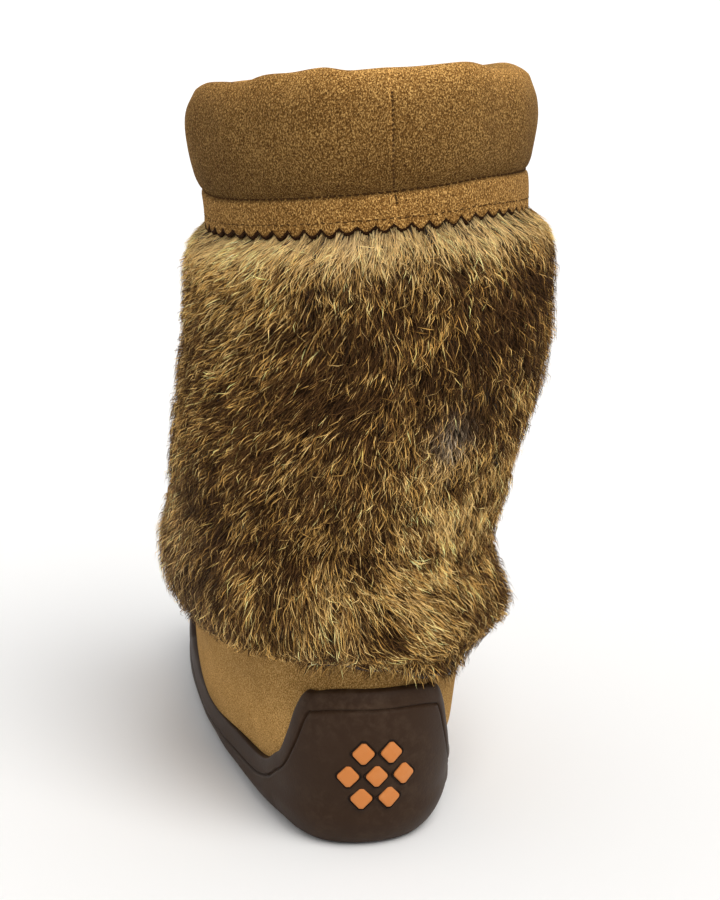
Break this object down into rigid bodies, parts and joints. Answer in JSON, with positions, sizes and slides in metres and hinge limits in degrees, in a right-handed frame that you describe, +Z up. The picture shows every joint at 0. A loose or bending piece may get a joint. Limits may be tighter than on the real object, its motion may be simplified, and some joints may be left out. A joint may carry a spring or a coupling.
{
  "type": "mukluk boot",
  "caption": "Right mukluk boot: moulded rubber cup sole with high heel counter, suede foot, deep fur shaft and turned suede cuff with a pinked hem.",
  "frame": {"origin": "on the ground under the middle of the heel", "axes": "+Z up the shaft, +Y to the toe, +X to the outer side of this right boot"},
  "size_m": [0.1588, 0.2865, 0.3125],
  "materials": {
    "sole_rubber": "satin dark brown",
    "inlay_rubber": "satin orange",
    "footbed": "matt felt",
    "suede": "napped tan",
    "fur": "brown agouti fur",
    "cuff_suede": "napped tan"
  },
  "bodies": {
    "root": {"outsole": "sole_rubber", "heel_lozenge_1": "inlay_rubber", "heel_lozenge_2": "inlay_rubber", "heel_lozenge_3": "inlay_rubber", "heel_lozenge_4": "inlay_rubber", "heel_lozenge_5": "inlay_rubber", "heel_lozenge_6": "inlay_rubber", "heel_lozenge_7": "inlay_rubber", "insole": "footbed", "upper": "suede", "apron_seam": "suede", "fur_sleeve": "fur", "cuff": "cuff_suede"}
  },
  "joints": []
}
